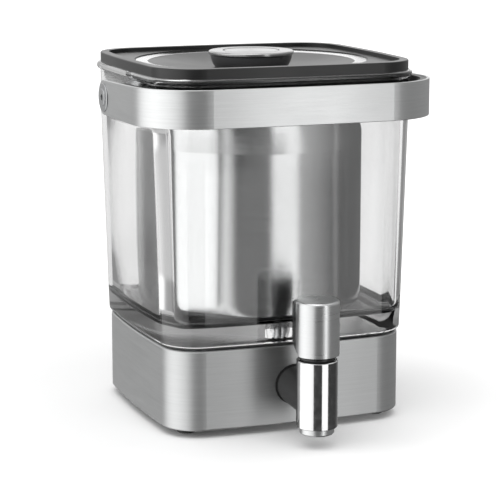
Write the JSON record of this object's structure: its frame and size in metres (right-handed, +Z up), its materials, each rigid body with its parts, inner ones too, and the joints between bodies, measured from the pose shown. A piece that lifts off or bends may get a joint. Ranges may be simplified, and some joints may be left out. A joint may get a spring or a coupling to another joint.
{
  "type": "cold brew coffee maker",
  "caption": "Glass jar on a steel base with a front tap and lever, a lift-out steeper, a square lid with a knob, and a swinging strap handle.",
  "frame": {"origin": "on the surface that the rubber feet stand on, under the middle of the whole maker, tap and lever included", "axes": "+Z up, the tap points to -Y, +X is to the right of someone who faces the tap"},
  "size_m": [0.2092, 0.2192, 0.2425],
  "materials": {
    "brushed_skin": "brushed",
    "brushed_trim": "fine brushed",
    "polished_steel": "polished",
    "valve_steel": "plain turned",
    "steeper_steel": "brushed",
    "screws": "plain",
    "jar_glass": "clear",
    "moulded_black": "fine texture",
    "lid_moulding": "satin",
    "tap_moulding": "satin",
    "moulded_inner": "plain moulded",
    "foot_rubber": "matte",
    "seal_rubber": "matte"
  },
  "bodies": {
    "base": {"base_shell": "brushed_skin", "base_chassis": "moulded_inner", "base_plate": "moulded_inner", "base_screws": "screws", "foot_front_left": "foot_rubber", "foot_front_right": "foot_rubber", "foot_rear_left": "foot_rubber", "foot_rear_right": "foot_rubber", "jar_gasket": "seal_rubber", "glass_jar": "jar_glass", "outlet_fitting": "valve_steel", "outlet_seal": "seal_rubber", "outlet_nut": "moulded_inner", "feed_tube": "seal_rubber", "shank_washer": "seal_rubber", "shank_nut": "moulded_inner", "tap_body": "tap_moulding", "tap_sleeve": "polished_steel", "tap_nozzle": "brushed_trim", "bonnet_seal": "seal_rubber", "bonnet": "tap_moulding", "valve_spring": "valve_steel", "pivot_bushes": "valve_steel", "pivot_seals": "seal_rubber", "pivot_nuts": "valve_steel", "pivot_washers": "brushed_trim", "pivot_screws": "brushed_trim"},
    "handle": {"handle_strap": "brushed_skin", "handle_liner": "moulded_black"},
    "lid": {"lid_shell": "lid_moulding", "lid_seal": "seal_rubber", "knob_body": "moulded_black", "knob_cap": "brushed_trim", "knob_screw": "screws"},
    "steeper": {"steeper_tube": "steeper_steel", "steeper_base": "steeper_steel", "steeper_mesh": "steeper_steel", "steeper_foot": "seal_rubber", "steeper_rivets": "steeper_steel"},
    "bail": {"steeper_bail": "steeper_steel"},
    "lever": {"lever_core": "tap_moulding", "lever_cap": "brushed_trim", "lever_pin": "valve_steel"},
    "stem": {"valve_stem": "valve_steel", "valve_seal": "seal_rubber"}
  },
  "joints": [
    {"name": "handle_swing", "type": "hinge", "parent": "base", "child": "handle", "pos_m": [0, 0.0225, 0.2148], "axis": [-1, 0, 0], "range_deg": [0, 180]},
    {"name": "lid_lift", "type": "slide", "parent": "base", "child": "lid", "axis": [0, 0, 1], "range_m": [0, 0.4]},
    {"name": "steeper_lift", "type": "slide", "parent": "base", "child": "steeper", "axis": [0, 0, 1], "range_m": [0, 0.2]},
    {"name": "bail_swing", "type": "hinge", "parent": "steeper", "child": "bail", "pos_m": [0, 0.0225, 0.211], "axis": [1, 0, 0], "range_deg": [0, 90]},
    {"name": "lever_pull", "type": "hinge", "parent": "base", "child": "lever", "pos_m": [0, -0.1065, 0.0598], "axis": [1, 0, 0], "range_deg": [0, 35], "stiffness_Nm_per_rad": 0.25, "springref_deg": -11.46},
    {"name": "stem_lift", "type": "slide", "parent": "base", "child": "stem", "axis": [0, 0, 1], "range_m": [0, 0.0053], "deforming": ["valve_spring"]}
  ],
  "couplings": [
    {"joint": "steeper_lift", "follows": "lid_lift", "ratio": 0.5},
    {"joint": "bail_swing", "follows": "lid_lift", "rad_per_m": 3.925},
    {"joint": "stem_lift", "follows": "lever_pull", "m_per_rad": 0.0085}
  ]
}
